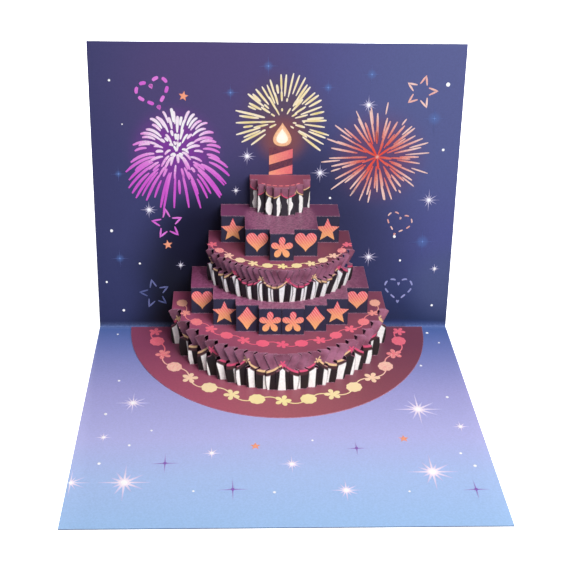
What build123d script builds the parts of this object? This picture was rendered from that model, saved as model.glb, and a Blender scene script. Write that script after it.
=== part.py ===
from build123d import *
from dataclasses import dataclass
from math import cos, radians, sin, sqrt
import os

# Driving dimensions of the cover, in millimetres and degrees
CARD_WIDTH = 200.0        # along the fold
PANEL_LENGTH = 159.0      # from the fold to the free edge, both panels
OPENING_ANGLE = 102.5     # between the panels as the card stands open
COVER_BOARD = 0.6         # thickness of the folded cover
SPINE_RADIUS = 0.5        # inside radius of the cover's one fold

# Driving dimensions of the cake sheet
CAKE_PAPER = 0.4          # thickness of the sheet
CAKE_SHIFT = 2.0          # the cake is glued this far right of the cover's middle
SLIT_WIDTH = 0.25         # cut between two strips
GLUE_TAB = 8.0            # height of the tabs on the back panel
PLATE_RIM = 22.3          # plate left showing in front of the bottom tier
PLATE_CLEARANCE = 0.5     # from the plate's back edge to the rounded fold

# Height of each stage, from the top down
TOP_TIER_HEIGHT = 16.5
UPPER_STEP_HEIGHT = 15.0
MIDDLE_TIER_HEIGHT = 21.0
LOWER_STEP_HEIGHT = 15.0
BOTTOM_TIER_HEIGHT = 21.0

# How far each foot stands in front of the foot above it, at the middle of the card
TOP_TIER_REACH = 15.3     # from the back panel
UPPER_STEP_LEDGE = 20.0
MIDDLE_TIER_LEDGE = 3.4
LOWER_STEP_LEDGE = 6.8
BOTTOM_TIER_LEDGE = 16.0

# Half width at the back panel: the top tier, then each shoulder beside the stage above
TOP_TIER_HALF_WIDTH = 16.5
UPPER_STEP_SHOULDER = 15.7
MIDDLE_TIER_SHOULDER = 6.8
LOWER_STEP_SHOULDER = 9.5
BOTTOM_TIER_SHOULDER = 10.8

# Depth of the outermost strip or panel of each stage
TOP_TIER_END_DEPTH = 4.5
UPPER_STEP_END_DEPTH = 14.2
MIDDLE_TIER_END_DEPTH = 16.0
LOWER_STEP_END_DEPTH = 23.2
BOTTOM_TIER_END_DEPTH = 18.0

# How far a tier's upper crease stands out past its foot
TOP_TIER_FLARE = 1.7
MIDDLE_TIER_FLARE = 5.3
BOTTOM_TIER_FLARE = 0.6

# Strips in a tier and panels in a step
TOP_TIER_STRIPS = 8
UPPER_STEP_PANELS = 5
MIDDLE_TIER_STRIPS = 25
LOWER_STEP_PANELS = 8
BOTTOM_TIER_STRIPS = 23

# The slits of the two large tiers, as cut: a frosting tooth, a notch under it and a bowed wall
MIDDLE_FROSTING = 8.5     # crease to notch
BOTTOM_FROSTING = 9.0
MIDDLE_TOOTH = 1.5        # tip of the tooth, outwards from the crease
BOTTOM_TOOTH = 2.1
TOOTH_DROP = 1.3          # tip of the tooth, below the crease
NOTCH_IN = 1.4            # bottom of the notch, inwards from the crease
NOTCH_RISE = 1.0          # from the top of the wall up to the bottom of the notch
WALL_OUT = 0.8            # top corner of the wall, outwards from the crease
WALL_BOW = 0.7            # bow of the wall's edge past its chord

# Directions: up the back panel, straight out of it, and along the base to the reader
LEAN = radians(OPENING_ANGLE - 90.0)
UP_PANEL = Vector(0, sin(LEAN), cos(LEAN))
OUT_OF_PANEL = Vector(0, -cos(LEAN), sin(LEAN))
TO_READER = Vector(0, -1, 0)

# Middle of the cake on the inside corner of the fold, and the paper's thickness along the panel
FOLD = Vector(CAKE_SHIFT, PANEL_LENGTH / 2, COVER_BOARD)
PAPER_UP_PANEL = CAKE_PAPER / cos(LEAN)


@dataclass
class Stage:
    """One stage of the cake: a level plateau and the row of strips or panels hanging from its edge."""

    height: float         # from its plateau down to the next one
    half_width: float
    reach: float          # depth of its foot at the middle of the card
    end_depth: float      # depth of its outermost foot
    flare: float          # its crease stands this far in front of its foot
    count: int            # strips or panels in the row
    frosting: float = 0   # crease to notch, 0 where the slits are straight
    tooth: float = 0      # tip of the frosting tooth
    level: float = 0      # height of the plateau up the back panel

    def columns(self):
        """(left, right, foot depth) of each strip, its outer corner on a half ellipse."""
        span = self.half_width / sqrt(1 - (self.end_depth / self.reach) ** 2)
        pitch = 2 * self.half_width / self.count
        row = []
        for number in range(self.count):
            left = -self.half_width + number * pitch
            right = left + pitch
            corner = max(abs(left), abs(right))
            row.append((left, right, self.reach * sqrt(1 - (corner / span) ** 2)))
        return row


def stack_stages():
    """The five stages from the top down, each one sized from the stage above it."""
    rows = [
        Stage(TOP_TIER_HEIGHT, TOP_TIER_HALF_WIDTH, TOP_TIER_REACH, TOP_TIER_END_DEPTH,
              TOP_TIER_FLARE, TOP_TIER_STRIPS),
        Stage(UPPER_STEP_HEIGHT, UPPER_STEP_SHOULDER, UPPER_STEP_LEDGE, UPPER_STEP_END_DEPTH,
              0, UPPER_STEP_PANELS),
        Stage(MIDDLE_TIER_HEIGHT, MIDDLE_TIER_SHOULDER, MIDDLE_TIER_LEDGE, MIDDLE_TIER_END_DEPTH,
              MIDDLE_TIER_FLARE, MIDDLE_TIER_STRIPS, MIDDLE_FROSTING, MIDDLE_TOOTH),
        Stage(LOWER_STEP_HEIGHT, LOWER_STEP_SHOULDER, LOWER_STEP_LEDGE, LOWER_STEP_END_DEPTH,
              0, LOWER_STEP_PANELS),
        Stage(BOTTOM_TIER_HEIGHT, BOTTOM_TIER_SHOULDER, BOTTOM_TIER_LEDGE, BOTTOM_TIER_END_DEPTH,
              BOTTOM_TIER_FLARE, BOTTOM_TIER_STRIPS, BOTTOM_FROSTING, BOTTOM_TOOTH),
    ]
    for above, below in zip(rows, rows[1:]):
        below.half_width += above.half_width
        below.reach += above.reach
    level = PAPER_UP_PANEL
    for stage in reversed(rows):
        level += stage.height
        stage.level = level
    return rows


def level_plane(level):
    """A plane level with the base: local x along the card, local y away from the reader."""
    return Plane(origin=FOLD + UP_PANEL * level, x_dir=(1, 0, 0), z_dir=(0, 0, 1))


def lay_level(outline, level):
    """Paper lying level under its outline, with edges parallel to the back panel."""
    return extrude(level_plane(level) * make_face(outline), amount=PAPER_UP_PANEL, dir=UP_PANEL * -1)


def slit_edges(x, top, foot, stage, inset):
    """One side of a slit from crease to foot, curling away from the middle of the card."""
    side = 0 if abs(x) < SLIT_WIDTH else (1 if x > 0 else -1)
    start = (x + inset, top)
    end = (x + inset, foot)
    if not stage.frosting or not side:
        return [Line(start, end)]
    tip = (start[0] + side * stage.tooth, top - TOOTH_DROP)
    notch = (start[0] - side * NOTCH_IN, top - stage.frosting)
    wall = (start[0] + side * WALL_OUT, notch[1] - NOTCH_RISE)
    middle = ((wall[0] + end[0]) / 2 + side * WALL_BOW, (wall[1] + end[1]) / 2)
    return [Polyline(start, tip, notch, wall), ThreePointArc(wall, middle, end)]


def hang_front(left, right, depth, stage):
    """One strip or panel: it hangs from the plateau's crease and stands on the next level."""
    foot = FOLD + TO_READER * depth + UP_PANEL * (stage.level - stage.height)
    crease = FOLD + TO_READER * (depth + stage.flare) + UP_PANEL * stage.level
    rise = (crease - foot).normalized()
    plane = Plane(origin=crease, x_dir=(1, 0, 0), z_dir=Vector(1, 0, 0).cross(rise))
    through_level = CAKE_PAPER / rise.Z
    bottom = -(crease - foot).length - through_level
    near = slit_edges(left, 0, bottom, stage, SLIT_WIDTH / 2)
    far = slit_edges(right, 0, bottom, stage, -SLIT_WIDTH / 2)
    sides = [Line(near[0] @ 0, far[0] @ 0), Line(near[-1] @ 1, far[-1] @ 1)]
    return extrude(plane * make_face(near + far + sides), amount=through_level, dir=TO_READER * -1)


def without_repeats(corners):
    """The corners of a stepped line, less each one that lies on the corner before it."""
    kept = corners[:1]
    for corner in corners[1:]:
        if Vector(*corner) != Vector(*kept[-1]):
            kept.append(corner)
    return kept


def crease_points(stage):
    """The stepped front edge of a stage's plateau, from left to right."""
    corners = []
    for left, right, depth in stage.columns():
        corners += [(left, -depth - stage.flare), (right, -depth - stage.flare)]
    return without_repeats(corners)


def foot_points(stage):
    """The stepped line just behind a stage's feet, from right to left."""
    corners = []
    for left, right, depth in reversed(stage.columns()):
        corners += [(right, CAKE_PAPER - depth), (left, CAKE_PAPER - depth)]
    return without_repeats(corners)


def inner_edge(above, back=0.0):
    """The edge of a level along the feet of the stage above and, beside it, back to the panel."""
    return [(above.half_width, back)] + foot_points(above) + [(-above.half_width, back)]


def plateau(stage, above):
    """The level top of a stage, open under the stage that stands on it."""
    edge = [(-stage.half_width, 0)] + crease_points(stage) + [(stage.half_width, 0)]
    if above:
        edge += inner_edge(above)
    return lay_level(Polyline(*edge, close=True), stage.level)


def glue_tabs(stage, above):
    """Tabs that fold down from the plateau's back edge and lie against the back panel."""
    spans = [(-stage.half_width, stage.half_width)]
    if above:
        spans = [(-stage.half_width, -above.half_width), (above.half_width, stage.half_width)]
    plane = Plane(origin=FOLD, x_dir=(1, 0, 0), z_dir=OUT_OF_PANEL)
    tabs = []
    for left, right in spans:
        low = stage.level - GLUE_TAB
        corners = ((left, low), (right, low), (right, stage.level), (left, stage.level))
        tabs.append(extrude(plane * make_face(Polyline(*corners, close=True)), amount=CAKE_PAPER))
    return tabs


def plate(bottom):
    """The half-round plate on the base panel, around the feet of the bottom tier."""
    radius = bottom.reach + PLATE_RIM
    back = -SPINE_RADIUS - PLATE_CLEARANCE
    end = sqrt(radius ** 2 - back ** 2)
    rim = ThreePointArc((-end, back), (0, -radius), (end, back))
    edge = Polyline((end, back), *inner_edge(bottom, back), (-end, back))
    return lay_level([rim, edge], PAPER_UP_PANEL)


def make_cake_sheet():
    """The whole cake as one slit and folded sheet."""
    stages = stack_stages()
    pieces = [plate(stages[-1])]
    above = None
    for stage in stages:
        pieces.append(plateau(stage, above))
        pieces += glue_tabs(stage, above)
        for left, right, depth in stage.columns():
            pieces.append(hang_front(left, right, depth, stage))
        above = stage
    return pieces[0].fuse(*pieces[1:])


def make_cover_card():
    """The folded cover: the base panel, the back panel and the rounded fold between them."""
    back_of_panel = OUT_OF_PANEL * -COVER_BOARD
    inside = Vector(0, PANEL_LENGTH / 2, COVER_BOARD)
    below = (COVER_BOARD + back_of_panel.Z) / cos(LEAN)
    outside = inside + back_of_panel - UP_PANEL * below
    top = inside + UP_PANEL * PANEL_LENGTH
    corners = [
        (-PANEL_LENGTH / 2, 0),
        (outside.Y, outside.Z),
        ((top + back_of_panel).Y, (top + back_of_panel).Z),
        (top.Y, top.Z),
        (inside.Y, inside.Z),
        (-PANEL_LENGTH / 2, COVER_BOARD),
    ]
    card = extrude(Plane.YZ * make_face(Polyline(*corners, close=True)), CARD_WIDTH / 2, both=True)
    fold_edges = card.edges().filter_by(Axis.X).sort_by_distance(inside)
    card = fillet(fold_edges[0], SPINE_RADIUS)
    outer_fold = card.edges().filter_by(Axis.X).sort_by_distance(outside)[0]
    return fillet(outer_fold, SPINE_RADIUS + COVER_BOARD)


os.makedirs("parts", exist_ok=True)
export_step(make_cover_card(), "parts/cover_card.step")
export_step(make_cake_sheet(), "parts/cake_sheet.step")
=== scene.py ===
# %% [markdown]
# A pop up card is two sheets of printed card. The cover is folded once and stands open at a little more
# than a right angle. The cake is one slit and folded sheet between its panels, like a paper staircase.
# Both sheets come from the CAD frame with their true folds, so this lesson adds what a printer adds:
# colour, gloss, paper grain, worn creases, and the inks that lie on top as thin raised figures. Some
# light and shade is painted into the colours as well: painted highlights on the creases and the fold,
# and painted shade and shadows round, behind and under the cake.

# %% Load the imported card
from functools import partial

import bpy
import numpy as np
from mathutils import Matrix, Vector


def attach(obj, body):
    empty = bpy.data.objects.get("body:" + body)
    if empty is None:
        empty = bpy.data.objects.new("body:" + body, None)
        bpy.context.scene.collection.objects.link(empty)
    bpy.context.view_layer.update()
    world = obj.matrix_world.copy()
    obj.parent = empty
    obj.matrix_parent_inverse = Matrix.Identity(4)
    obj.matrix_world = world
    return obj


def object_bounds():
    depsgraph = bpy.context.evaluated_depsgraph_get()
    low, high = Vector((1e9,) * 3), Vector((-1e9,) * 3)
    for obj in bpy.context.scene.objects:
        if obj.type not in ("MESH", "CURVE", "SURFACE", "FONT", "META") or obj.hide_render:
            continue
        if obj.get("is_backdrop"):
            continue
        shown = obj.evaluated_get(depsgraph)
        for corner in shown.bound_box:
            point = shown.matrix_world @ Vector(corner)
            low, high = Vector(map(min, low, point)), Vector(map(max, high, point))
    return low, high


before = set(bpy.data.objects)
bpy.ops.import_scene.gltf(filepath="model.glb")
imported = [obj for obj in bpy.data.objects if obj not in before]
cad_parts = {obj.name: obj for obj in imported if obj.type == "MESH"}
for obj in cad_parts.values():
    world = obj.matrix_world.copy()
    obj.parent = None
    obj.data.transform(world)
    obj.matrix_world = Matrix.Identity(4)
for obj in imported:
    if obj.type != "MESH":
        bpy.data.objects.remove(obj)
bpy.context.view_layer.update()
MM = 0.001
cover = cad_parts["cover_card"]
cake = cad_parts["cake_sheet"]

# %% [markdown]
# Places in the print are given in millimetres, and all start at the fold. On the back panel they are x
# from the middle of the cake and s up the panel. On a level sheet they are x and y, with y away from the
# reader, so that the cake's depth is minus y.

# %% The fold and the two directions of the panels
FOLD = np.array([2.0, 79.5, 0.6])
LEAN = np.radians(12.5)
HALF_WIDTH = 100.0
PANEL_LENGTH = 159.0
RIGHT, AWAY, UP = np.eye(3)
UP_PANEL = np.array([0.0, np.sin(LEAN), np.cos(LEAN)])
OUT_OF_PANEL = np.array([0.0, -np.cos(LEAN), np.sin(LEAN)])
print("the back panel leans back by", round(float(np.degrees(LEAN)), 1), "degrees")

# %% [markdown]
# The camera stands a little left of the middle and looks down on the card by about 32 degrees. Its
# place was found from the corners of the two panels, whose sizes are known. The photograph's middle is
# not where the lens pointed, so a small shift moves the frame sideways instead of turning the camera.

# %% Camera
CAMERA_PLACE = np.array([-25.3, -380.1, 305.1])
YAW, PITCH, ROLL = np.radians([2.148, 31.916, 1.127])
FOCAL_PIXELS = 953.7
PICTURE_PIXELS = 573
forward = np.array([np.sin(YAW) * np.cos(PITCH), np.cos(YAW) * np.cos(PITCH), -np.sin(PITCH)])
level_right = np.array([np.cos(YAW), -np.sin(YAW), 0.0])
level_up = np.cross(level_right, forward)
picture_right = np.cos(ROLL) * level_right + np.sin(ROLL) * level_up
picture_up = np.cos(ROLL) * level_up - np.sin(ROLL) * level_right


def set_down(name, data, right=RIGHT, up=AWAY, back=UP, place=(0, 0, 0)):
    """A new object whose matrix columns are its three axes and its place in metres."""
    made = bpy.data.objects.new(name, data)
    axes = np.column_stack([right, up, back, place])
    made.matrix_world = Matrix([*axes.tolist(), [0, 0, 0, 1]])
    bpy.context.collection.objects.link(made)
    return made


lens = bpy.data.cameras.new("reader_camera")
lens.lens = FOCAL_PIXELS * lens.sensor_width / PICTURE_PIXELS
lens.shift_x = 0.0457
lens.shift_y = 0.0234
camera = set_down("reader_camera", lens, picture_right, picture_up, -forward, CAMERA_PLACE * MM)
bpy.context.scene.camera = camera
print("lens", round(lens.lens, 1), "mm on", lens.sensor_width, "mm")

# %% [markdown]
# The finishes need four helpers. One turns a printed colour, written as an sRGB hex value, into the
# linear numbers that the shader needs. The next adds one node: plain values and links go to its open
# sockets in order, and its own settings go by name. The third starts a finish, and hands the node helper
# back bound to the new material. The last ends it with a coat whose gloss and relief follow the grain.

# %% Colour and node helpers
def linear(code):
    """sRGB hex to linear RGBA: below 0.04045 divide by 12.92, above it ((c + 0.055) / 1.055) ** 2.4."""
    srgb = np.array([int(code[i:i + 2], 16) for i in (1, 3, 5)]) / 255
    low = srgb / 12.92
    high = ((srgb + 0.055) / 1.055) ** 2.4
    return (*np.where(srgb <= 0.04045, low, high).tolist(), 1)


def add_node(tree, kind, *values, stops=None, **settings):
    """Adds one node: "Math.SINE" is a Math node set to SINE, and a Mix node mixes colours.

    A value is a number, a colour code, a socket, a node, or a dict of named sockets.
    """
    kind, _, choice = kind.partition(".")
    made = tree.nodes.new("ShaderNode" + kind)
    if choice:
        setattr(made, "interpolation_type" if kind == "MapRange" else "operation", choice)
    if kind == "Mix":
        made.data_type = "RGBA"
    for name, setting in settings.items():
        setattr(made, name, setting)
    pairs = []
    for number, value in enumerate(values):
        if isinstance(value, dict):
            pairs += [(made.inputs[name], given) for name, given in value.items()]
        else:
            pairs.append(([s for s in made.inputs if s.enabled][number], value))
    for socket, value in pairs:
        if isinstance(value, bpy.types.Node):
            value = [s for s in value.outputs if s.enabled][0]
        if isinstance(value, bpy.types.NodeSocket):
            tree.links.new(value, socket)
        elif value is not None:
            socket.default_value = linear(value) if isinstance(value, str) else value
    if stops:
        ramp = made.color_ramp.elements
        while len(ramp) < len(stops):
            ramp.new(0.5)
        for element, (place, code) in zip(ramp, stops):
            element.position = place
            element.color = linear(code)
    return made


def new_finish(name):
    """A new material with an empty node tree, and the helper that adds a node to that tree."""
    made = bpy.data.materials.new(name)
    made.use_nodes = True
    made.node_tree.nodes.clear()
    return made, partial(add_node, made.node_tree)


def coat(add, colour, grain, strength, depth, gloss, more):
    """Ends a finish: relief of a depth in metres, and a roughness between two bounds, by the grain."""
    relief = add("Bump", {"Strength": strength, "Distance": depth, "Height": grain})
    rough = add("MapRange", grain, 0.3, 0.7, *gloss)
    film = add("BsdfPrincipled", {"Base Color": colour, "Roughness": rough, "Normal": relief, **more})
    add("OutputMaterial", {"Surface": film})


print("white ink is", linear("#ffffff")[:3])

# %% [markdown]
# The card stands in a white studio under one large soft lamp, high in front of it and to the right. A
# weak fill on the left opens the shadows a little, and a small lamp behind lights the outside, which the
# panel itself keeps off the inside.

# %% Lamp and room
CARD_MIDDLE = np.array([0.0, 0.05, 0.05])


def lamp(name, place, size, watts):
    """A square area light: its minus z axis points from its place to the middle of the card."""
    light = bpy.data.lights.new(name, "AREA")
    light.size = size
    light.energy = watts
    away = np.array(place) - CARD_MIDDLE
    away = away / np.linalg.norm(away)
    side = np.cross(UP, away)
    side = side / np.linalg.norm(side)
    holder = set_down(name, light, side, np.cross(away, side), away, place)
    holder.visible_camera = False


lamp("window_lamp", (0.68, -0.75, 1.10), 1.20, 32)
lamp("left_fill", (-0.80, -0.70, 0.60), 0.90, 2)
lamp("rear_lamp", (0, 0.95, 0.42), 0.30, 9)
room = bpy.data.worlds.new("dim_white_room")
room.use_nodes = True
studio = room.node_tree.nodes["Background"].inputs
studio["Color"].default_value = linear("#ffffff")
studio["Strength"].default_value = 0.10
bpy.context.scene.world = room
bpy.context.scene.view_settings.view_transform = "Standard"

# %% [markdown]
# A studio sweep is one sheet of paper that lies under the object and bends up into the wall behind it.
# Here it is turned full circle, so that every view has the same ground. It glows like a light table, so
# it is hidden from the card's diffuse and glossy rays: a ground this bright would wash out the shadows.

# %% Paper sweep
SWEEP_FLOOR, SWEEP_BEND, SWEEP_WALL = 3.0, 1.0, 6.0


def quads(rings, around):
    """Four-cornered faces between each closed ring of points and the next one."""
    ring = np.arange(rings - 1)[:, None] * around
    here = np.arange(around)[None]
    follow = (here + 1) % around
    faces = np.stack([ring + here, ring + here + around, ring + follow + around, ring + follow], axis=-1)
    return faces.reshape(-1, 4).tolist()


def sweep_surface(around, rows):
    """A flat disc that bends up into a wall: its profile is a quarter circle, turned full circle."""
    bend = np.linspace(0, np.pi / 2, rows)
    edge = SWEEP_FLOOR + SWEEP_BEND
    radius = np.concatenate([[0.001], SWEEP_FLOOR + SWEEP_BEND * np.sin(bend), [edge]])
    height = np.concatenate([[0.0], SWEEP_BEND * (1 - np.cos(bend)), [SWEEP_WALL]])
    angle = 2 * np.pi * np.arange(around) / around
    grid = np.stack([np.outer(radius, np.cos(angle)), np.outer(radius, np.sin(angle)),
                     np.repeat(height[:, None], around, axis=1)], axis=-1)
    return grid.reshape(-1, 3).tolist(), quads(len(radius), around) + [list(range(around))]


sweep_mesh = bpy.data.meshes.new("paper_sweep")
points, faces = sweep_surface(64, 12)
sweep_mesh.from_pydata(points, [], faces)
sweep = set_down("paper_sweep", sweep_mesh)
sweep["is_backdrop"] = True
sweep.visible_diffuse = False
sweep.visible_glossy = False
table_paper, add = new_finish("matt_white_table_paper")
fibre = add("TexNoise", add("TexCoord").outputs["Object"], 220, 3)
tint = add("Mix", fibre, "#e4e4e3", "#ebebea")
skin = add("BsdfPrincipled", {"Base Color": tint, "Roughness": 0.9,
                              "Emission Color": "#ffffff", "Emission Strength": 1.0})
add("OutputMaterial", {"Surface": skin})
sweep_mesh.materials.append(table_paper)
print("sweep faces:", len(faces))

# %% [markdown]
# The cover is coated board, printed inside with a night sky that turns to dawn on the base panel, and
# plain outside. One material serves the whole sheet. It measures where a point lies: on the inside both
# the height over the base and the distance out of the back panel are zero or more, on the cut edges and
# the outside one of them is less. The sky is painted lighter to the right, as painted light from the
# lamp's side, and oval painted shadows darken it beside the cake, most of all on the left.

# %% Satin printed board of the cover
board, add = new_finish("satin_coated_printed_board")
where = add("TexCoord").outputs["Object"]
mm = add("VectorMath.SCALE", where, 1000)
from_fold = add("VectorMath.SUBTRACT", mm, tuple(FOLD))
axis = add("SeparateXYZ", from_fold).outputs
out = add("VectorMath.DOT_PRODUCT", from_fold, tuple(OUT_OF_PANEL))
up = add("VectorMath.DOT_PRODUCT", from_fold, tuple(UP_PANEL))
inside_depth = add("Math.MINIMUM", out, axis[2])
inside = add("MapRange", inside_depth, -0.06, -0.02)
depth = add("Math.MULTIPLY", axis[1], -1)

cloud = add("TexNoise", where, 9, 2)
drift = add("Math.MULTIPLY_ADD", cloud, 12, -6)
night_height = add("MapRange", add("Math", up, drift), 0, PANEL_LENGTH)
night = add("ValToRGB", night_height, stops=[
    (0, "#24356a"), (0.03, "#1c2749"), (0.09, "#242d53"), (0.15, "#2e3660"), (0.21, "#363c69"),
    (0.31, "#3c406f"), (1, "#434272")])
dawn_depth = add("MapRange", add("Math", depth, drift), 0, PANEL_LENGTH)
dawn = add("ValToRGB", dawn_depth, stops=[
    (0, "#46619f"), (0.13, "#6d79b6"), (0.4, "#a3a1d6"), (0.62, "#b4b5e6"),
    (0.8, "#a9bfea"), (1, "#9dbfe9")])
on_back = add("MapRange", add("Math.SUBTRACT", axis[2], out), -1.5, 1.5)
aside = add("Math.ABSOLUTE", axis[0])
flat = add("CombineXYZ", axis[0], up, 0)
# Painted shadows: ovals that darken the sky round the cake, most of all on its left.
PAINTED_SHADOWS = [  # x, s, half width, half height, darkest, inner and outer share of the half sizes
    (-36, 20, 43, 60, 0.17, 0.6, 1.35),
    (15, 60, 80, 80, 0.45, 0.3, 1),
    (64, 22, 26, 46, 0.85, 0.2, 1),
]
# Painted light: the sky is painted lighter towards the right, the lamp's side.
shade = add("MapRange", axis[0], -HALF_WIDTH, HALF_WIDTH, 0.86, 1.62)
for x, s, half_width, half_height, darkest, inner, outer in PAINTED_SHADOWS:
    place = add("VectorMath.SUBTRACT", flat, (x, s, 0))
    oval = add("VectorMath.MULTIPLY", place, (1 / half_width, 1 / half_height, 0))
    ring = add("VectorMath.LENGTH", oval)
    shadow_dim = add("MapRange.SMOOTHSTEP", ring, inner, outer, darkest, 1)
    shade = add("Math.MULTIPLY", shade, shadow_dim)
night = add("VectorMath.SCALE", night, shade)
print("board nodes so far:", len(board.node_tree.nodes))

# %% [markdown]
# Round each burst the sky is tinted by its light, and the candle flame has a reddish glow. Wider hazes
# lighten and tint the corners, and a dark one is painted shadow left of the cake. Each glow is one round
# haze: its strength falls smoothly from the middle to its radius. Behind and under the cake the board is
# painted a very dark plum, as painted shade, so that the slits between the strips look deep.

# %% Glows in the printed sky
GLOWS = [  # x, s, radius, colour, strength
    (-38, 138, 75, "#53416f", 0.55),
    (92, 130, 90, "#525c8a", 0.60),
    (-98, 18, 34, "#363a67", 0.70),
    (98, 26, 32, "#4c557e", 0.70),
    # painted shadow left of the cake
    (-42, 52, 34, "#0c0b2c", 0.75),
    (-57, 101, 30, "#7c3496", 0.95),
    (54, 99, 33, "#6a3a5c", 0.65),
    (1, 120, 30, "#5a4556", 0.75),
    (1, 109, 18, "#7e4a50", 0.95),
]
BLUE_SPARKLES = [(-88, 89, 4), (-27, 133, 4.6), (-7, 147, 5.4), (25, 136, 4.6), (-89, 41, 5),
                 (48, 143, 5.4), (83, 120, 7.4), (81, 51, 7.6)]
GLOWS += [(x, s, 0.6 * size, "#5576b8", 0.40) for x, s, size in BLUE_SPARKLES]
sky_colour = night
for x, s, radius, colour, strength in GLOWS:
    away = add("VectorMath.DISTANCE", flat, (x, s, 0))
    haze = add("MapRange.SMOOTHERSTEP", away, radius * 0.2, radius, strength, 0)
    sky_colour = add("Mix", haze, sky_colour, colour)
printed = add("Mix", on_back, dawn, sky_colour)
footprint = add("VectorMath.LENGTH", add("CombineXYZ", axis[0], depth, 0))
under_plate = add("MapRange", footprint, 75, 74)
# Painted shade: the board is painted dark plum where it lies behind and under the cake.
PAINTED_SHADE_BEHIND_STAGES = [(60, 19), (47, 35), (37, 56), (30, 71), (15, 87)]  # half width and height behind a stage
painted_shade_behind_cake = 0.0
for half, top in PAINTED_SHADE_BEHIND_STAGES:
    narrow = add("MapRange", aside, half, half - 1)
    lower = add("MapRange", up, top, top - 1)
    hidden = add("Math.MULTIPLY", narrow, lower)
    painted_shade_behind_cake = add("Math.MAXIMUM", hidden, painted_shade_behind_cake)
painted_shade_under_cake = add("MapRange", on_back, 0, 1, under_plate, painted_shade_behind_cake)
printed = add("Mix", painted_shade_under_cake, printed, "#32182a")
print("glows:", len(GLOWS))

# %% [markdown]
# The paper shows through the ink as a faint mottle, and the fold is painted pale, a painted highlight
# where the rounded fold catches the light, broken up by the grain and left out under the cake. The
# outside is plain coated white, a little soiled along its borders by handling, and the cut edges are
# painted blue grey as painted shade. Paper fibres are far finer than a pixel, so the grain is drawn at
# about 0.9 mm to show at all. A satin coating reflects softly, at a roughness near 0.45.

# %% Grain, painted fold highlight and the plain outside
SOILED = 4.0
grain = add("TexNoise", where, 1100, 3)
mottle = add("MapRange", grain, 0.3, 0.7, 0.94, 1.04)
mottled = add("VectorMath.SCALE", printed, mottle)
fold_near = add("VectorMath.MULTIPLY", from_fold, (0, 1, 1))
fold_gap = add("VectorMath.LENGTH", fold_near)
# Painted highlight: the fold is painted pale, broken up by the grain, and not under the cake.
fold_highlight = add("MapRange", fold_gap, 0.4, 3.2, 0.35, 0)
fold_highlight = add("MapRange", painted_shade_under_cake, 0, 1, fold_highlight, 0)
broken_fold_highlight = add("Math.MULTIPLY", fold_highlight, grain)
mottled_with_fold_highlight = add("Mix", broken_fold_highlight, mottled, "#93a6d6")
plain = add("Mix", grain, "#d9d6de", "#f1eff3")
from_middle = add("Math.ABSOLUTE", add("Math", axis[0], float(FOLD[0])))
at_side = add("MapRange", from_middle, HALF_WIDTH - SOILED, HALF_WIDTH)
far_out = add("Math.MAXIMUM", up, depth)
at_end = add("MapRange", far_out, PANEL_LENGTH - SOILED, PANEL_LENGTH)
border = add("Math.MAXIMUM", at_side, at_end)
soiled = add("Math.MULTIPLY", border, cloud)
plain = add("Mix", soiled, plain, "#a9a5b2")
facing = add("SeparateXYZ", add("TexCoord").outputs["Normal"]).outputs
to_side = add("Math.ABSOLUTE", facing[0])
to_reader = add("Math.SUBTRACT", facing[2], facing[1])
# Painted shade: the cut edges are painted blue grey.
cut_edge_shade = add("MapRange", add("Math.MAXIMUM", to_side, to_reader), 0.5, 0.6)
plain = add("Mix", cut_edge_shade, plain, "#687ca4")
sheet = add("Mix", inside, plain, mottled_with_fold_highlight)
coat(add, sheet, grain, 0.12, 0.00004, (0.40, 0.52), {"IOR": 1.48, "Specular IOR Level": 0.3})
cover.data.materials.clear()
cover.data.materials.append(board)
print("board nodes:", len(board.node_tree.nodes))

# %% [markdown]
# The cake sheet is thinner coated card, printed on one side before it was slit and folded. Its print
# follows the staircase: plum frosting on every level, dark blue fronts on the two steps, and frosting
# over black and white stripes on the tiers. The material reads which way a face looks and how high it
# is, because a folded sheet shows each part of its print at its own height.

# %% Where a point lies on the cake
cake_card, add = new_finish("satin_coated_printed_card")
cake_nodes = cake_card.node_tree.nodes
spot = add("TexCoord")
where = spot.outputs["Object"]
mm = add("VectorMath.SCALE", where, 1000)
axis = add("SeparateXYZ", add("VectorMath.SUBTRACT", mm, tuple(FOLD))).outputs
across, back, high_up = axis
facing = add("SeparateXYZ", spot.outputs["Normal"]).outputs
reach = add("Math.ABSOLUTE", across)
PLATE_TOP = 0.41
STAGE_TOPS = {"bottom": 21.41, "lower": 36.41, "middle": 57.41, "upper": 72.41, "top": 88.91}
HEIGHTS = {name: float(s * np.cos(LEAN)) for name, s in STAGE_TOPS.items()}
grain = add("TexNoise", where, 900, 3)
smear = add("TexNoise", where, 120, 3)
sway = add("TexNoise", where, 28, 1)
print("levels above the base in mm:", {name: round(z, 1) for name, z in HEIGHTS.items()})

# %% [markdown]
# Each tier front is frosting with a scalloped edge over a striped wall. The stripes lean with the slits:
# their feet are drawn in towards the middle of the card. On the left more of the wall is black, and the
# black is deeper: painted shade, for the side away from the lamp.

# %% Striped walls
STRIPE_WHITE = "#fdfbf9"
# Painted shade: the dark stripes are deeper and wider on the left, away from the lamp.
stripe_dark_with_painted_shade = add("Mix", add("MapRange", across, -40, 30), "#120b0e", "#261c1f")
dark_share_with_painted_shade = add("MapRange", across, -40, 25, 0.31, 0.26)


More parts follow.
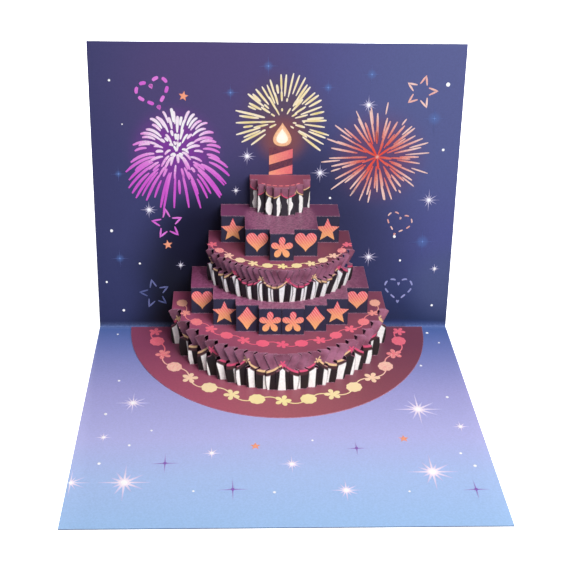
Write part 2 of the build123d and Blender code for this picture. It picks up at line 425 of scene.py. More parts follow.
def striped_wall(under, pitch, lean, wall_top, wall_height):
    """Stripes by distance from the middle: white where (distance + lean) / pitch is nearly whole."""
    fall = add("MapRange", under, wall_top, wall_top + wall_height, 0, lean)
    fall = add("Math.MULTIPLY", fall, add("MapRange", reach, 3, 25))
    wander = add("Math.MULTIPLY_ADD", sway, 5, -2.5)
    leaned = add("Math", add("Math", reach, fall), wander)
    phase = add("Math.FRACT", add("Math.DIVIDE", leaned, pitch))
    ramp = add("Math.ABSOLUTE", add("Math.SUBTRACT", phase, 0.5))
    white = add("MapRange", add("Math.SUBTRACT", ramp, dark_share_with_painted_shade), -0.02, 0.02)
    return add("Mix", white, stripe_dark_with_painted_shade, STRIPE_WHITE)


below = {name: add("Math.SUBTRACT", z, high_up) for name, z in HEIGHTS.items()}
bottom_wall = striped_wall(below["bottom"], pitch=8.3, lean=1.8, wall_top=9, wall_height=11.5)
middle_wall = striped_wall(below["middle"], pitch=6.3, lean=1.8, wall_top=8.5, wall_height=12)
print("nodes with the walls:", len(cake_nodes))

# %% [markdown]
# A swag hangs between two peaks, so its edge is a parabola: 4 t (1 - t) is nought at both peaks and one
# at the lowest point. The swag's line is drawn where the distance to that edge is small, and a
# five-petalled blossom hides each peak. The frosting and its swag lines are painted darker on the left,
# and the frosting lighter on the right, as painted light and shade from the lamp's side; a coarse noise
# brushes the frosting with paler streaks.

# %% Frosted fronts
SWAG_PINK = "#e4557c"
SWAG_GOLD = "#f3ca96"
# Painted light and shade: frosting darker on the left and lighter on the right, swag line darker left.
frosting_painted_light_and_shade = add("MapRange", across, -60, 40, 0.48, 1.20)
swag_painted_shade = add("MapRange", across, -60, 30, 0.85, 1)


def swag_ink(turn):
    """Pink and gold in turns: gold where the whole part of the turn is odd."""
    odd = add("Math.FLOORED_MODULO", add("Math.FLOOR", turn), 2)
    ink = add("Mix", odd, SWAG_PINK, SWAG_GOLD)
    return add("VectorMath.SCALE", ink, swag_painted_shade)


def frosted_front(under, wall, period, start, shallow, deep, line, petal, band):
    """Frosting down to swags of one period, their line and blossoms, a brown band, and the wall below."""
    turn = add("Math.DIVIDE", add("Math.SUBTRACT", across, start), period)
    part = add("Math.FRACT", turn)
    rest = add("Math.SUBTRACT", 1, part)
    arch = add("Math.MULTIPLY", part, rest)
    edge = add("Math.MULTIPLY_ADD", arch, 4 * (deep - shallow), shallow)
    past = add("Math.SUBTRACT", under, edge)
    shade = add("MapRange", past, band, band + 0.6)
    lower = add("Mix", shade, "#4a2a2e", wall)
    brushed = add("MapRange", smear, 0.36, 0.64)
    cream = add("Mix", brushed, "#7c4357", "#a86a84")
    cream = add("VectorMath.SCALE", cream, frosting_painted_light_and_shade)
    front = add("Mix", add("MapRange", past, -0.15, 0.15), cream, lower)
    near = add("Math.ABSOLUTE", past)
    drawn = add("MapRange", near, line * 0.5 + 0.12, line * 0.5 - 0.12)
    front = add("Mix", drawn, front, swag_ink(turn))
    sideways = add("Math.MULTIPLY", add("Math.MINIMUM", part, rest), period)
    downwards = add("Math.SUBTRACT", under, shallow)
    angle = add("Math.ARCTAN2", sideways, downwards)
    wave = add("Math.COSINE", add("Math.MULTIPLY", angle, 5))
    outline = add("Math.MULTIPLY_ADD", wave, petal * 0.35, petal * 0.65)
    away = add("VectorMath.LENGTH", add("CombineXYZ", sideways, downwards, 0))
    bloom = add("MapRange", add("Math.SUBTRACT", away, outline), 0.15, -0.15)
    return add("Mix", bloom, front, swag_ink(add("Math", turn, 0.5)))


bottom_front = frosted_front(below["bottom"], bottom_wall, period=18.6, start=0, shallow=5.6, deep=10.4,
                             line=1.3, petal=2.1, band=2.2)
middle_front = frosted_front(below["middle"], middle_wall, period=14, start=3, shallow=6.6, deep=11.2,
                             line=1.1, petal=1.7, band=0.9)
print("nodes with the fronts:", len(cake_nodes))

# %% [markdown]
# The top tier is too small for even stripes, so it has ragged white patches on the dark ground. A sine
# across the card is bent by noise, and the patch is cut narrower towards its ends, which rounds it off.

# %% Patched front of the top tier
bent = add("TexNoise", where, 150, 1)
ripple = add("Math.MULTIPLY", bent, 5)
PATCH_PITCH = 5.9
swing = add("Math.SINE", add("Math.MULTIPLY_ADD", across, 2 * np.pi / PATCH_PITCH, ripple))
rise = add("MapRange", below["top"], 5.6, 16.2, -1, 1)
taper = add("Math.MULTIPLY", rise, rise)
patch = add("Math", swing, add("Math.MULTIPLY", taper, -0.8))
white = add("MapRange", patch, -0.06, 0.08)
patched = add("Mix", white, "#35303a", STRIPE_WHITE)
top_front = frosted_front(below["top"], patched, period=8.25, start=0, shallow=3.7, deep=5.8,
                          line=0.6, petal=1, band=0.3)

STEP_FRONT = "#2b2842"
fronts = bottom_front
for floor, colour in (("bottom", STEP_FRONT), ("lower", middle_front),
                      ("middle", STEP_FRONT), ("upper", top_front)):
    above = add("MapRange", high_up, HEIGHTS[floor] - 0.05, HEIGHTS[floor] + 0.05)
    fronts = add("Mix", above, fronts, colour)
print("nodes with the top tier:", len(cake_nodes))

# %% [markdown]
# The levels are plum frosting, pinker on the left and browner on the right. The plate warms towards the
# reader. The step tops are more purple, with a pale sugared rim round the foot of the tier that stands
# on them: an oval, and the haze falls off with the distance from it. The middle level is painted darker
# towards its ends, as painted shade where the step above it takes the light.

# %% Level tops
LEVEL_INKS = [("plate", "#7c4258"), ("bottom", "#8f4c62"), ("lower", "#7b405f"),
              ("middle", "#8f4c62"), ("upper", "#6d3b59"), ("top", "#8f4a5c")]
TIER_FEET = {"lower": (40.5, 43.5, 1.30), "upper": (17.2, 20.5, 1.20)}  # half width, depth, spread of rim
warm = add("MapRange", back, -84, -20)
levels = add("Mix", warm, "#a55c66", LEVEL_INKS[0][1])
for floor, colour in LEVEL_INKS[1:]:
    above = add("MapRange", high_up, HEIGHTS[floor] - 1, HEIGHTS[floor] - 0.9)
    if floor in TIER_FEET:
        half, deep, spread = TIER_FEET[floor]
        oval = add("VectorMath.MULTIPLY", add("CombineXYZ", across, back, 0), (1 / half, 1 / deep, 0))
        ring = add("VectorMath.LENGTH", oval)
        icing = add("MapRange.SMOOTHSTEP", ring, 1, spread, 0.62, 0)
        sugar = add("Math.MULTIPLY", icing, add("MapRange", grain, 0.38, 0.62, 0.2, 1))
        colour = add("Mix", sugar, colour, "#a8708a")
    if floor == "middle":
        # Painted shade: the middle level is painted darker towards its ends.
        shaded = add("MapRange", reach, 8, 30, 1, 0.70)
        colour = add("VectorMath.SCALE", linear(colour)[:3], shaded)
    levels = add("Mix", above, levels, colour)
side = add("MapRange", across, -45, 45)
tint = add("ValToRGB", side, stops=[(0, "#fee6fc"), (0.5, "#f0ebed"), (1, "#d8d3d5")])
levels = add("VectorMath.MULTIPLY", levels, tint)
levels = add("VectorMath.SCALE", levels, 1.2)
looks_up = add("MapRange", facing[2], 0.55, 0.65)
plate_edge = add("MapRange", high_up, 0.42, 0.40)
looks_up = add("Math.MAXIMUM", looks_up, plate_edge)
printed = add("Mix", looks_up, fronts, levels)
mottle = add("MapRange", grain, 0.3, 0.7, 0.90, 1.06)
printed = add("VectorMath.SCALE", printed, mottle)
print("nodes with the levels:", len(cake_nodes))

# %% [markdown]
# The hidden side is bare white card. A rounded normal differs from the true one near an edge only:
# upwards at a crease, which is painted pale as worn coating and as a painted highlight, and sideways at a
# slit, which is painted dark as painted shade.

# %% Worn and highlighted creases, shaded slits and the hidden side
rounded = add("Bevel", {"Radius": 0.0009}, samples=6)
true_normal = add("NewGeometry").outputs["Normal"]
bend = add("SeparateXYZ", add("VectorMath.SUBTRACT", rounded, true_normal)).outputs
# Painted shade: the slit edges are painted dark.
slit_shade = add("MapRange", add("Math.ABSOLUTE", bend[0]), 0.15, 0.50, 0, 0.55)
slit_shade = add("Math.MULTIPLY", slit_shade, add("Math.SUBTRACT", 1, looks_up))
printed = add("Mix", slit_shade, printed, "#20141a")
# The creases are painted pale: worn coating, and a painted highlight where the crease catches the light.
crease_wear_and_highlight = add("MapRange", add("Math.ABSOLUTE", bend[2]), 0.20, 0.55)
broken = add("MapRange", grain, 0.36, 0.62, 0.30, 0.95)
wear_and_highlight = add("Math.MULTIPLY", crease_wear_and_highlight, broken)
printed = add("Mix", wear_and_highlight, printed, "#c896ac")

behind = add("MapRange", facing[1], 0.3, 0.4)
beneath = add("MapRange", facing[2], -0.3, -0.4)
hidden = add("Math.MAXIMUM", behind, beneath)
bare = add("Mix", grain, "#d9d2d4", "#ece6e6")
sheet = add("Mix", hidden, printed, bare)
coat(add, sheet, grain, 0.15, 0.00005, (0.38, 0.52), {"IOR": 1.48})
cake.data.materials.clear()
cake.data.materials.append(cake_card)
print("cake nodes:", len(cake_nodes))

# %% [markdown]
# The bright figures are laid over the printed sky in foil and thick ink, so they stand a little proud. A
# stroke is a flat box profile carried along a path, as a brush line is. A blot is an outline filled from
# its middle, as a stamped star or dot is. Each vertex keeps a tone from 0 to 1, which the inks below turn
# into colour.

# %% Strokes and blots of ink
INK = 0.06


def stroke(path, width, tone):
    """Box profile along a path: half a width to each side of it, on the paper and one ink above."""
    count = len(path)
    ahead = np.gradient(path, axis=0)
    ahead = ahead / np.linalg.norm(ahead, axis=1, keepdims=True)
    half = np.broadcast_to(width, count)[:, None] / 2
    side = np.column_stack([-ahead[:, 1], ahead[:, 0]]) * half
    corners = np.zeros((count, 4, 3))
    corners[:, [0, 3], :2] = (path + side)[:, None]
    corners[:, [1, 2], :2] = (path - side)[:, None]
    corners[:, 2:, 2] = INK
    last = 4 * count - 4
    faces = quads(count, 4) + [[0, 1, 2, 3], [last + 3, last + 2, last + 1, last]]
    return corners.reshape(-1, 3), faces, np.repeat(np.broadcast_to(tone, count), 4)


def blot(outline, rim_tone, middle_tone=None):
    """Filled outline, anticlockwise: a ring on the paper, a ring one ink above, and two middle points."""
    outline = np.asarray(outline, float)
    count = len(outline)
    centre = outline.mean(axis=0)
    height = np.repeat([0, INK, 0, INK], [count, count, 1, 1])
    points = np.column_stack([np.vstack([outline, outline, centre, centre]), height])
    here = np.arange(count)
    follow = (here + 1) % count
    sides = np.stack([here, follow, follow + count, here + count], axis=-1).tolist()
    top = np.stack([here + count, follow + count, np.full(count, 2 * count + 1)], axis=-1).tolist()
    under = np.stack([follow, here, np.full(count, 2 * count)], axis=-1).tolist()
    rim = np.broadcast_to(rim_tone, count)
    middle = rim.mean() if middle_tone is None else middle_tone
    return points, sides + top + under, np.concatenate([rim, rim, [middle, middle]])


def ring_of(count, radius, turn=0):
    """Points round a circle, anticlockwise; radius may change from point to point."""
    angle = turn + 2 * np.pi * np.arange(count) / count
    return np.column_stack([np.cos(angle) * radius, np.sin(angle) * radius])


def spun(points, turn):
    """Points turned anticlockwise about the origin."""
    return points @ np.array([[np.cos(turn), np.sin(turn)], [-np.sin(turn), np.cos(turn)]])


def moved(figure, x, y, lift=0):
    """The same figure, shifted on its paper, and lifted by one ink if it is a second coat."""
    points, faces, tones = figure
    return points + [x, y, lift], faces, tones


print("a dot has", len(blot(ring_of(12, 1.0), 0.0)[1]), "faces")

# %% [markdown]
# All figures of one ink become one mesh. Its sheet is given by an origin and three directions: along it,
# up it and out of it. Later figures lie a few thousandths of a millimetre higher, as later passes of ink
# do, so two figures never share a surface.

# %% Figures laid on a sheet
LAYER, LAYERS = 0.002, 24


def lay_print(name, figures, ink, origin, along, up_sheet, out_of_sheet):
    """All figures as one mesh: point = origin + x * along + y * up_sheet + height * out_of_sheet."""
    starts = np.cumsum([0] + [len(points) for points, _, _ in figures])
    flat = np.concatenate([points for points, _, _ in figures])
    layer = np.repeat(np.arange(len(figures)) % LAYERS, np.diff(starts)) * LAYER
    flat[:, 2] += np.where(flat[:, 2] > 0, layer, 0)
    tones = np.concatenate([tone for _, _, tone in figures])
    faces = [[corner + int(start) for corner in face]
             for start, (_, group, _) in zip(starts, figures) for face in group]
    placed = (origin + flat @ np.stack([along, up_sheet, out_of_sheet])) * MM
    mesh = bpy.data.meshes.new(name)
    mesh.from_pydata(placed.tolist(), [], faces)
    mesh.attributes.new("tone", "FLOAT", "POINT").data.foreach_set("value", tones.astype(np.float32))
    mesh.materials.append(ink)
    piece = set_down(name, mesh)
    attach(piece, "root")
    print(name, "has", len(figures), "figures and", len(faces), "faces")


def on_back_panel(name, figures, ink):
    """Figures given by x and s, laid on the back panel."""
    lay_print(name, figures, ink, FOLD, RIGHT, UP_PANEL, OUT_OF_PANEL)


def on_level(name, figures, ink, height):
    """Figures given by x and y, laid on a level sheet at a height up the back panel."""
    lay_print(name, figures, ink, FOLD + UP_PANEL * height, RIGHT, AWAY, UP)


print("passes of ink:", LAYERS)

# %% [markdown]
# Inks and foils differ in colour and gloss only, so one recipe serves them. The tone runs through a
# colour ramp, and a fine noise at about 0.7 mm breaks it up, as worn foil and screened ink do. Foil is
# a thin metal film under a clear coat: it is partly metallic and reflects more sharply than ink. Some
# ink is hatched with fine pale slanted lines, 1.2 mm apart, which a sine across the sheet draws, and
# which fade out where the tone is low.

# %% Ink recipe
HATCH_PITCH = 1.2 * MM
HATCH_TURNS = tuple(2 * np.pi / HATCH_PITCH * np.array([0.8, 0.0, 0.6]))


def ink_finish(name, stops, roughness=0.42, metallic=0, hatch=0):
    """Colour ramp over tone plus a small share of noise and hatch, with the gloss of ink or of foil."""
    made, add = new_finish(name)
    tone = add("Attribute", attribute_name="tone").outputs["Fac"]
    fleck = add("TexNoise", add("TexCoord").outputs["Object"], 1400, 2)
    stir = add("MapRange", fleck, 0.3, 0.7, -0.10, 0.10)
    colour = add("ValToRGB", add("Math", tone, stir), stops=stops)
    if hatch:
        slant = add("VectorMath.DOT_PRODUCT", add("TexCoord").outputs["Object"], HATCH_TURNS)
        line = add("MapRange", add("Math.SINE", slant), 0.1, 0.9, 0, hatch)
        line = add("Math.MULTIPLY", line, tone)
        colour = add("Mix", line, colour, "#fff0dc")
    gloss = (roughness - 0.06, roughness + 0.06)
    coat(add, colour, fleck, 0.1, 0.00003, gloss, {"Metallic": metallic, "IOR": 1.5})
    return made


FOIL = {"roughness": 0.34, "metallic": 0.15}
pink_foil = ink_finish("pink_hot_stamping_foil", [
    (0, "#ffffff"), (0.25, "#fbe0f8"), (0.45, "#ee98e6"), (0.7, "#e67ce0"), (1, "#d658d4")], **FOIL)
gold_foil = ink_finish("pale_gold_hot_stamping_foil", [
    (0, "#fff4e4"), (0.4, "#fbeac4"), (1, "#ecd584")], **FOIL)
red_foil = ink_finish("copper_red_hot_stamping_foil", [
    (0, "#ee4a38"), (0.3, "#e4584a"), (0.55, "#e07a70"), (0.8, "#ecaca2"), (1, "#f4cfc6")], **FOIL)
print("foils:", [m.name for m in bpy.data.materials if "foil" in m.name])

# %% [markdown]
# Three bursts hang in the sky. The pink one droops: its strokes start outwards, sink with the squared
# distance from the middle, and curl a little more along their own way. The gold and the red one are
# straight rays in broken rings, and the gold one leaves room for the candle below it. The rays are
# spread evenly round the circle and then shaken a little by a seeded random draw.

# %% Bursts in foil
luck = np.random.default_rng(7)
CURL, UPWARDS = 0.045, 0.055
STRETCH, SHRINK = 1.1, 1.6
LONGEST = 1.08
RAY_BODY = np.array([0.45, 0.8, 0.95, 1.0, 1.0, 0.9, 0.5])


def burst(x, s, rings, droop, tone_of, gap_below=0):
    """Rays in rings, from an inner to an outer radius; each sinks by droop * (radius / reach) squared.

    For the droop more rays start upwards, and those are longer, while rays that point down are shorter.
    A ray that would end outside the burst's circle is drawn smaller, so that the burst stays round.
    Rays within gap_below radians of straight down are left out.
    """
    figures = []
    way = np.linspace(0, 1, len(RAY_BODY))
    reach_mm = max(outer for _, _, outer, _ in rings)
    for count, inner, outer, width in rings:
        for ray in range(count):
            angle = 2 * np.pi * (ray + luck.uniform(-0.3, 0.3)) / count
            angle += UPWARDS * droop * np.cos(angle)
            start = inner * luck.uniform(0.8, 1.3)
            end = outer * luck.uniform(0.8, LONGEST)
            thick = width * luck.uniform(0.85, 1.15)
            chance = luck.uniform()
            radius = start + (end - start) * way
            if abs((angle + np.pi / 2 + np.pi) % (2 * np.pi) - np.pi) < gap_below:
                continue
            rise = np.sin(angle)
            longer = 1 + droop / reach_mm * (STRETCH * max(rise, 0) + SHRINK * min(rise, 0))
            path = np.column_stack([np.cos(angle) * radius, rise * radius * longer])
            path[:, 1] -= droop * (radius / reach_mm) ** 2 + CURL * droop * (end - start) * way ** 2
            spill = np.hypot(path[-1, 0], path[-1, 1] + droop / 2) / (LONGEST * reach_mm)
            path /= max(spill, 1)
            tones = tone_of(path, radius, chance)
            figures.append(moved(stroke(path, thick * RAY_BODY, tones), x, s))
    return figures


def pink_tone(path, radius, chance):
    """White above and near the middle, magenta below and far out."""
    return np.clip(0.45 - path[:, 1] / 45 + (radius - 15) / 40 + 0.2 * (chance - 0.5), 0, 1)


def gold_tone(path, radius, chance):
    """Cream at both ends and yellow half way, by a sine along the ray."""
    return np.clip(0.05 + (0.3 + 0.6 * chance) * np.sin(np.linspace(0, np.pi, len(path))), 0, 1)


def red_tone(path, radius, chance):
    """Red near the middle, pale at the tips."""
    return np.clip(radius / 25 - 0.05 + 0.25 * chance, 0, 1)


# rays in a ring, inner and outer radius, width
PINK_RINGS = [(26, 8, 15, 1.4), (54, 14, 28, 1.5)]
PINK_HEART = [(6, 0.8, 4, 1.3), (13, 3.5, 8.5, 1.4)]
GOLD_RINGS = [(12, 4.5, 8.5, 1), (24, 8.5, 15, 1.15), (50, 12.5, 24.5, 1.2)]
RED_RINGS = [(9, 0.9, 8.5, 1.2), (20, 6, 17, 1.05), (36, 10, 24.5, 1.05), (18, 18, 30, 0.85)]
CANDLE_GAP = np.radians(49)
pink = burst(-56, 98.5, PINK_RINGS, 6.5, pink_tone) + burst(-56, 100, PINK_HEART, 7, pink_tone)
on_back_panel("pink_burst", pink, pink_foil)
on_back_panel("gold_burst", burst(1, 118, GOLD_RINGS, 0, gold_tone, CANDLE_GAP), gold_foil)
red = burst(53, 99, RED_RINGS, 0, red_tone)
red.append(moved(blot(ring_of(12, 1.3), 0.35, 0.95), 53, 99, INK))
on_back_panel("red_burst", red, red_foil)

# %% [markdown]
# The candle is printed behind the top tier, so that it seems to stand on the cake. Its body is a plain
# block of ink with two slanted bands. The flame is a teardrop with a pointed top and a round foot.

# %% Candle and flame
def slanted_band(left, right, low, thickness, slope):
    """A band across the candle, its edges rising by slope from left to right."""
    rise = slope * (right - left)
    return [(left, low), (right, low + rise), (right, low + rise + thickness), (left, low + thickness)]


def teardrop(width, height, count=40):
    """x = width * sin(a) * sin(a / 2) ** 1.5, y = height * cos(a), run anticlockwise."""
    angle = np.linspace(2 * np.pi, 0, count, endpoint=False)
    x = width * np.sin(angle) * np.abs(np.sin(angle / 2)) ** 1.5
    return np.column_stack([x, height * np.cos(angle)])


candle_ink = ink_finish("candle_printing_ink", [
    (0, "#562c46"), (0.24, "#84424c"), (0.36, "#f3a87f"), (0.7, "#e9807a"), (1, "#dc5f70")])
flame_ink = ink_finish("flame_printing_ink", [
    (0, "#fffdf4"), (0.45, "#fff3d6"), (0.75, "#f8d0a8"), (1, "#eeae82")])
CANDLE_LEFT, CANDLE_RIGHT = -6, 6.8
CANDLE_FOOT, CANDLE_TOP = 88.4, 104.0
BAND_SLOPE, BAND_HEIGHT = 0.31, 4.9
body = slanted_band(CANDLE_LEFT, CANDLE_RIGHT, CANDLE_FOOT, CANDLE_TOP - CANDLE_FOOT, 0)
on_back_panel("candle_body", [blot(body, [0.0, 0.0, 0.13, 0.13])], candle_ink)
bands = []
for low in (94.4, 85.6):
    corners = slanted_band(CANDLE_LEFT, CANDLE_RIGHT, low, BAND_HEIGHT, BAND_SLOPE)
    corners = np.maximum(corners, [CANDLE_LEFT, CANDLE_FOOT + 0.05])
    bands.append(moved(blot(corners, [0.48, 0.9, 0.9, 0.48]), 0.0, 0.0, INK))
on_back_panel("candle_bands", bands, candle_ink)
flame = [moved(blot(teardrop(7.1, 6.4), 1.0, 0.55), 1.0, 110.9),
         moved(blot(teardrop(4.4, 4.0), 0.35, 0.0), 0.9, 110.1, INK)]
on_back_panel("candle_flame", flame, flame_ink)

# %% [markdown]
# Sparkles fill the sky and the dawn below it. A sparkle is a bright middle with long rays up, down and
# to both sides, and shorter ones between. Its rays fade because their tone runs from white at the root
# to nearly the colour of the paper at the tip. Rays that would run off the sheet are left out. Dots and
# small solid stars are blots.

# %% Sparkles, dots and small stars
RAY_SHARES = [0.6, 0.82, 0.5, 0.72, 0.66]
SPARK_BODY = np.array([0.7, 0.6, 0.45, 0.3, 0.1])
SHEET_HALF_WIDTH = HALF_WIDTH - 0.02


def sparkle(x, y, size, rays, width):
    """Rays round a middle dot: every quarter turn a long thin one, the others shorter and broader."""
    way = np.linspace(0, 1, len(SPARK_BODY))
    root = SPARK_BODY[0] * width
    figures = []
    for number in range(rays):
        long_ray = number % (rays // 4) == 0
        angle = 2 * np.pi * number / rays + 0.03 * (number % 3)
        if abs(FOLD[0] + x + np.cos(angle) * size) > SHEET_HALF_WIDTH:
            continue
        length = size * (1.0 if long_ray else RAY_SHARES[number % len(RAY_SHARES)]) - root
        path = np.outer(root + length * way, [np.cos(angle), np.sin(angle)])
        body = width * SPARK_BODY * (0.8 if long_ray else 1)
        figures.append(moved(stroke(path, body, 0.2 + 0.8 * way ** 0.8), x, y))
    if abs(FOLD[0] + x) + width < SHEET_HALF_WIDTH:
        figures.append(moved(blot(ring_of(12, width * 0.8), 0.1, 0.0), x, y, INK))
    return figures


def five_point_star(radius, turn=np.pi / 2):
    """Ten points round a circle, each second one at 0.45 of the radius."""
    return ring_of(10, radius * np.tile([1, 0.45], 5), turn)


white_ink = ink_finish("white_printing_ink", [(0, "#ffffff"), (0.5, "#d6cfe8"), (1, "#7a74a6")])
dawn_ink = ink_finish("rose_white_printing_ink", [
    (0, "#ffffff"), (0.3, "#f6e8f5"), (0.6, "#e0d4ee"), (1, "#bcbce8")])
blue_ink = ink_finish("pale_blue_printing_ink", [(0, "#6d8ccc"), (0.35, "#4c62a0"), (1, "#474f88")])
violet_ink = ink_finish("violet_printing_ink", [(0, "#8a5fb4"), (0.5, "#9a86c8"), (1, "#a9a8dc")])
orange_ink = ink_finish("orange_printing_ink", [(0, "#f6a888"), (1, "#ea8c6a")])

BACK_SPARKLES = [(-18, 99, 5, 12), (22, 90, 5.4, 12), (-24, 80, 2.8, 8), (-72, 69, 4.8, 12),
                 (47, 127, 5.2, 12), (83, 75, 6.2, 12), (51, 42, 5.6, 12), (89, 35, 3, 8),
                 (-55, 37, 2.8, 8)]
figures = sum((sparkle(*row, 0.75) for row in BACK_SPARKLES), [])
BACK_DOTS = [(-91, 139, 0.65), (-93, 57, 0.85), (-85, 116, 0.4), (28, 76, 0.65), (89, 138, 1.1),
             (89, 103, 0.75), (-78, 38, 0.6), (-97, 27, 0.6), (-88, 10, 0.75), (69, 40, 0.65),
             (89, 13, 0.7), (65, 54, 0.8)]
figures += [moved(blot(ring_of(12, radius), 0.05), x, s) for x, s, radius in BACK_DOTS]
on_back_panel("sky_sparkles", figures, white_ink)

figures = sum((sparkle(*row, 4, 0.55) for row in BLUE_SPARKLES), [])
on_back_panel("sky_blue_sparkles", figures, blue_ink)
on_back_panel("sky_small_stars", [moved(blot(five_point_star(2.7, turn), 0.6, 0.2), x, s)
                                  for x, s, turn in ((-52, 131, 1.4), (-62, 49, 1.7))], orange_ink)

# %% [markdown]
# A few hearts and stars are drawn as dashed outlines, like stitches. An outline is cut into equal dashes
# by its length, and each dash becomes one stroke, so the dashes bend with it.

# %% Dashed hearts and stars
def heart(width, count=120):
    """x = 16 sin(a)^3, y = 13 cos(a) - 5 cos(2a) - 2 cos(3a) - cos(4a), scaled to a width."""
    angle = -np.linspace(0, 2 * np.pi, count, endpoint=False)
    y = 13 * np.cos(angle) - 5 * np.cos(2 * angle) - 2 * np.cos(3 * angle) - np.cos(4 * angle)
    return np.column_stack([16 * np.sin(angle) ** 3, y]) * width / 32


DASH_TAPER = np.array([0.55, 0.9, 1.0, 1.0, 1.0, 0.9, 0.55])


def dashed(outline, dashes, share, width, turn, x, y, tones):
    """Equal dashes along a closed outline, the first across its start, turned and moved to a place."""
    loop = np.vstack([outline, outline[:1]])
    run = np.concatenate([[0], np.cumsum(np.linalg.norm(np.diff(loop, axis=0), axis=1))])
    figures = []
    for number in range(dashes):
        span = number + np.linspace(-share / 2, share / 2, len(DASH_TAPER))
        stops = span / dashes * run[-1] % run[-1]
        path = spun(np.column_stack([np.interp(stops, run, loop[:, i]) for i in (0, 1)]), turn)
        figures.append(moved(stroke(path, width * DASH_TAPER, tones[number % len(tones)]), x, y))
    return figures


lilac_ink = ink_finish("lilac_printing_ink", [(0, "#9c9fd4"), (1, "#4e588e")])
STITCHED = {  # ink, then for each figure: outline, dashes, inked share, width, turn, x, s, tones
    "pink_stitched_figures": (
        pink_foil, (heart(17), 10, 0.66, 1.9, 0.35, -68, 133, [0.66, 0.88, 0.76]),
        (five_point_star(8.5), 5, 0.86, 1.1, 0.12, -62, 61, [0.7, 0.85])),
    "copper_stitched_figures": (
        red_foil, (five_point_star(8.6), 5, 0.84, 1.05, -0.25, 75, 134, [0.85, 0.98]),
        (heart(14), 10, 0.55, 0.8, -0.3, 67, 62, [0.95, 0.8])),
    "lilac_stitched_figures": (
        lilac_ink, (heart(15.5), 10, 0.62, 1, 0, 69, 23, [0.1, 0.3]),
        (five_point_star(8.5), 5, 0.82, 0.9, 0.2, -70, 20, [0.75, 0.95])),
}
for name, (ink, *rows) in STITCHED.items():
    on_back_panel(name, sum((dashed(*row) for row in rows), []), ink)

# %% [markdown]
# The base panel carries the same sparkles, larger and rosier, and a few violet ones.

# %% Sparkles on the base panel
DAWN_SPARKLES = [(-76, -130, 12, 12, 2), (-77, -71, 8.5, 12, 1.2), (69, -77, 12.5, 12, 1.8),
                 (68, -124, 12, 12, 2), (26, -136, 7, 12, 1.3), (2, -118, 6, 12, 1.1),
                 (-89, -98, 4, 8, 0.9), (-36, -110, 4.5, 8, 1.1), (88, -91, 4.5, 8, 1),
                 (-100.6, -130, 9, 12, 1.1)]
figures = sum((sparkle(*row) for row in DAWN_SPARKLES), [])
DAWN_DOTS = [(-91, -8), (-86, -52), (-90, -80), (-66, -93), (-76, -104), (-89, -117), (-44, -136),
             (-7, -137), (86, -7), (91, -17), (77, -39), (86, -67), (13, -101), (84, -111), (89, -120),
             (55, -137)]
figures += [moved(blot(ring_of(12, 0.55 + 0.12 * (number % 3)), 0.05), x, y)
            for number, (x, y) in enumerate(DAWN_DOTS)]
on_level("dawn_sparkles", figures, dawn_ink, 0)
VIOLET_SPARKLES = [(-58, -117, 7), (-26, -135, 7), (34, -107, 5), (86, -136, 6)]
figures = sum((sparkle(*row, 4, 1.1) for row in VIOLET_SPARKLES), [])
on_level("dawn_violet_sparkles", figures, violet_ink, 0)
on_level("dawn_small_stars", [moved(blot(five_point_star(2.6, 0.3), 0.6, 0.2), x, y)
                              for x, y in ((-15, -105), (58, -100))], orange_ink, 0)

# %% [markdown]
# Three garlands run round the cake: on the plate and on the two wide tiers. Beads and five-petalled
# blossoms take turns every 11 degrees on a thin wavy vine, which on the plate runs on to a smaller
# blossom. Near the ends of the lower step the path swings out a little, to stay between the step and the
# edge of the tier. The top tier has no room for a garland, and gets a short row of piped beads instead.

# %% Garlands
GARLAND_STEP = np.radians(11)
VINE_WAVE = 0.34
SMALL = 0.85


def polar(angle, radius):
    """Places on a level sheet: the angle is measured from the reader's side, left is negative."""
    return np.column_stack([np.sin(angle) * radius, -np.cos(angle) * radius])


def bulge(angle):
    """One at 66 degrees to either side, falling off as a bell of 17 degrees."""
    return np.exp(-((np.abs(angle) - np.radians(66)) / np.radians(17)) ** 2)


def blossom(radius, turn):
    """Five round petals: radius * (0.28 + 0.72 |cos(2.5a)| ** 0.7)."""
    angle = 2 * np.pi * np.arange(40) / 40
    return ring_of(40, radius * (0.28 + 0.72 * np.abs(np.cos(2.5 * angle)) ** 0.7), turn)


def bead(wide, deep, turn):
    """A scalloped oval: an ellipse whose radius swells nine times by 4 percent, turned to its path."""
    angle = 2 * np.pi * np.arange(54) / 54
    oval = ring_of(54, 1.0 + 0.04 * np.cos(9 * angle)) * [wide / 2, deep / 2]
    return spun(oval, turn)


def garland(radius, swing, last, bead_size, petal, vine, tail=0):
    """Beads at odd steps, blossoms at even ones, and a waving vine; a tail adds a last small blossom."""
    along = np.linspace(-last - tail, last + tail, 24 * last + 1) * GARLAND_STEP
    wave = VINE_WAVE * bead_size[1] * np.sin(np.pi * along / GARLAND_STEP)
    line = polar(along, radius + swing * bulge(along) + wave)
    figures = [stroke(line, vine, np.abs(along) / (last * GARLAND_STEP))]
    ends = [-last - tail, last + tail] if tail else []
    for step in [*range(-last, last + 1), *ends]:
        angle = np.array([step * GARLAND_STEP])
        x, y = polar(angle, radius + swing * bulge(angle))[0]
        tone = abs(step) / last
        if step % 2 == 1:
            figures.append(moved(blot(bead(*bead_size, angle[0]), tone), x, y))
        else:
            small = step in ends or (swing and abs(step) == 6)
            size = petal * (SMALL if small else 1)
            figures.append(moved(blot(blossom(size, 0.3 * step), tone), x, y))
    return figures


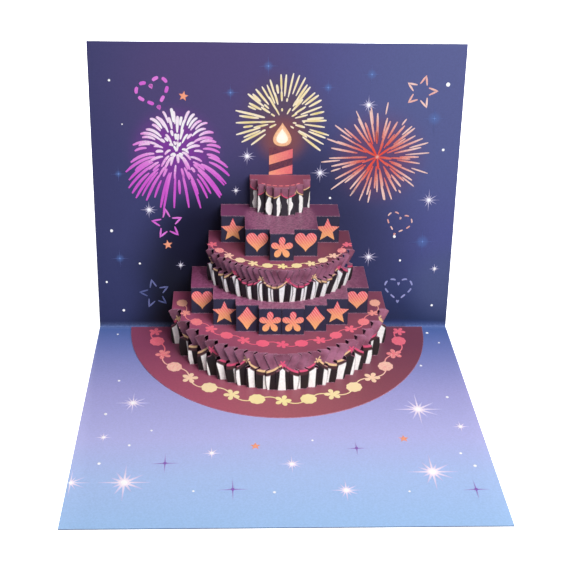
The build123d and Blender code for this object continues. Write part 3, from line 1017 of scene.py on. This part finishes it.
plate_ink = ink_finish("garland_ink_cream_to_coral", [
    (0, "#f3e3a0"), (0.43, "#f6deae"), (0.57, "#f5d1b0"), (0.71, "#f5c2b0"), (0.86, "#ee8488"),
    (1, "#ec6c82")])
coral_ink = ink_finish("garland_ink_coral_to_cream", [
    (0, "#ea5f80"), (0.63, "#ed6e82"), (0.91, "#f2a090"), (1, "#f4b399")])
on_plate = garland(radius=70, swing=0, last=7, bead_size=(8.5, 8), petal=4.5, vine=0.7, tail=0.72)
on_bottom = garland(radius=53.3, swing=3.2, last=7, bead_size=(7, 6), petal=3.5, vine=0.55)
on_middle = garland(radius=40.2, swing=0, last=6, bead_size=(5.6, 4.6), petal=2.8, vine=0.5)
on_level("plate_garland", on_plate, plate_ink, PLATE_TOP)
on_level("bottom_tier_garland", on_bottom, coral_ink, STAGE_TOPS["bottom"])
on_level("middle_tier_garland", on_middle, plate_ink, STAGE_TOPS["middle"])
PIPING_HALF_WIDTH, PIPING_DEPTH = 15.8, 14.4
piping = []
for angle in np.radians(12) * np.arange(-3, 4):
    x, y = PIPING_HALF_WIDTH * np.sin(angle), -PIPING_DEPTH * np.cos(angle)
    piping.append(moved(blot(bead(2.5, 0.9, 0.9 * angle), 0.72), x, y))
on_level("top_tier_piping", piping, coral_ink, STAGE_TOPS["top"])

# %% [markdown]
# Each panel of the two steps carries one bold figure: stars, hearts, diamonds and blossoms. They are
# coral at the top and gold at the foot, with a fine light hatch, so the ink reads the tone as a height.

# %% Bold figures on the step panels
def diamond(width, height):
    """Four corners with edges drawn in by 8 percent."""
    corners = ring_of(4, 1) * [width / 2, height / 2]
    middles = (corners + np.roll(corners, -1, axis=0)) / 2 * 0.92
    return np.stack([corners, middles], axis=1).reshape(-1, 2)


def panel_depths(half_width, reach_mm, end_depth, count):
    """Middle and depth of each panel: its outer corner lies on a half ellipse, as the sheet was cut."""
    span = half_width / np.sqrt(1 - (end_depth / reach_mm) ** 2)
    edges = np.linspace(-half_width, half_width, count + 1)
    outer = np.maximum(np.abs(edges[:-1]), np.abs(edges[1:]))
    return (edges[:-1] + edges[1:]) / 2, reach_mm * np.sqrt(1 - (outer / span) ** 2)


panel_ink = ink_finish("coral_to_gold_panel_ink", [
    (0, "#f6b674"), (0.4, "#f0946c"), (0.7, "#ea686a"), (1, "#e8506c")], hatch=0.45)
FIGURES = {"star": five_point_star(6.7), "heart": heart(11.6), "blossom": blossom(6, np.pi / 2),
           "diamond": diamond(10.2, 13.2)}
FIGURE_MIDDLE, FIGURE_HEIGHT = 7.6, 13.0
STEPS = {  # foot, half width, reach and depth at the ends, figures from left to right
    "upper_step_figures": (STAGE_TOPS["middle"], 32.2, 35.3, 14.2, "star heart blossom heart star"),
    "lower_step_figures": (STAGE_TOPS["bottom"], 48.5, 45.5, 23.2,
                           "heart star diamond blossom blossom diamond star heart"),
}
for name, (foot, half_width, reach_mm, end_depth, row) in STEPS.items():
    kinds = row.split()
    figures = []
    for x, depth_mm, kind in zip(*panel_depths(half_width, reach_mm, end_depth, len(kinds)), kinds):
        outline = FIGURES[kind]
        outline = outline - (outline.min(axis=0) + outline.max(axis=0)) / 2
        figure = blot(outline, outline[:, 1] / FIGURE_HEIGHT + 0.5)
        front = -AWAY * depth_mm
        figures.append(moved(figure, x, FIGURE_MIDDLE + front @ UP_PANEL, front @ OUT_OF_PANEL))
    lay_print(name, figures, panel_ink, FOLD + UP_PANEL * foot, RIGHT, UP_PANEL,
              OUT_OF_PANEL)

# %% [markdown]
# The print must not make the card larger, so the box of everything, the print included, is written out.

# %% Size of the model with its print
low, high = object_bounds()
print("box with the print in mm:", [round(side / MM, 1) for side in high - low])
